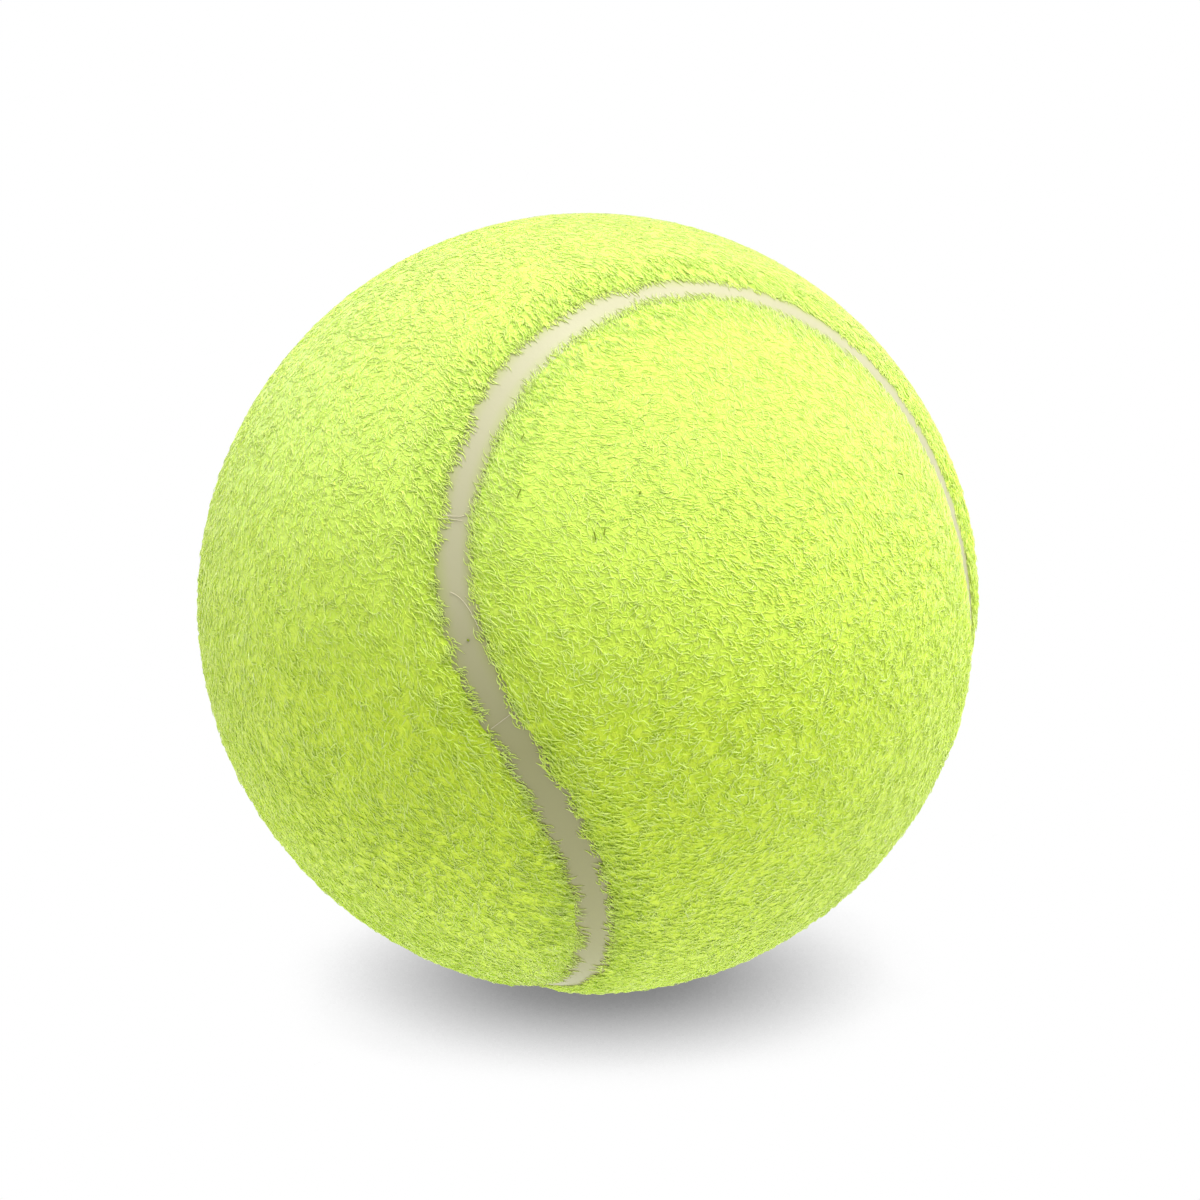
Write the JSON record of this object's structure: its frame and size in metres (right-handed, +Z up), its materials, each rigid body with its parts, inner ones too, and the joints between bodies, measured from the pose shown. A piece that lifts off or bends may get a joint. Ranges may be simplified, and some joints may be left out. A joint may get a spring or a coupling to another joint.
{
  "type": "tennis ball",
  "caption": "Felt-covered hollow rubber ball for tennis: a pressurised moulded core, interlocking dog-bone felt panels and one recessed cement seam.",
  "frame": {"origin": "middle of the ball", "axes": "+Z up as the ball lies in the picture, +Y away from the picture's camera, +X to its right"},
  "size_m": [0.067, 0.067, 0.067],
  "materials": {
    "felt": "raised wool and nylon felt, fluorescent yellow-green, brushed nap",
    "backing_cloth": "woven cotton back, proofed with rubber",
    "seam_cement": "cured pale grey rubber cement, satin",
    "rubber_solution": "dried rubber solution, slightly glossy",
    "core_rubber": "moulded black rubber, matt and buffed",
    "joint_cement": "cured rubber cement"
  },
  "bodies": {
    "root": {"felt_panel_a": "felt", "felt_panel_b": "felt", "felt_backing_a": "backing_cloth", "felt_backing_b": "backing_cloth", "seam_cement": "seam_cement", "core_cement_coat": "rubber_solution", "core_upper_half": "core_rubber", "core_lower_half": "core_rubber", "core_joint_cement": "joint_cement"}
  },
  "joints": []
}
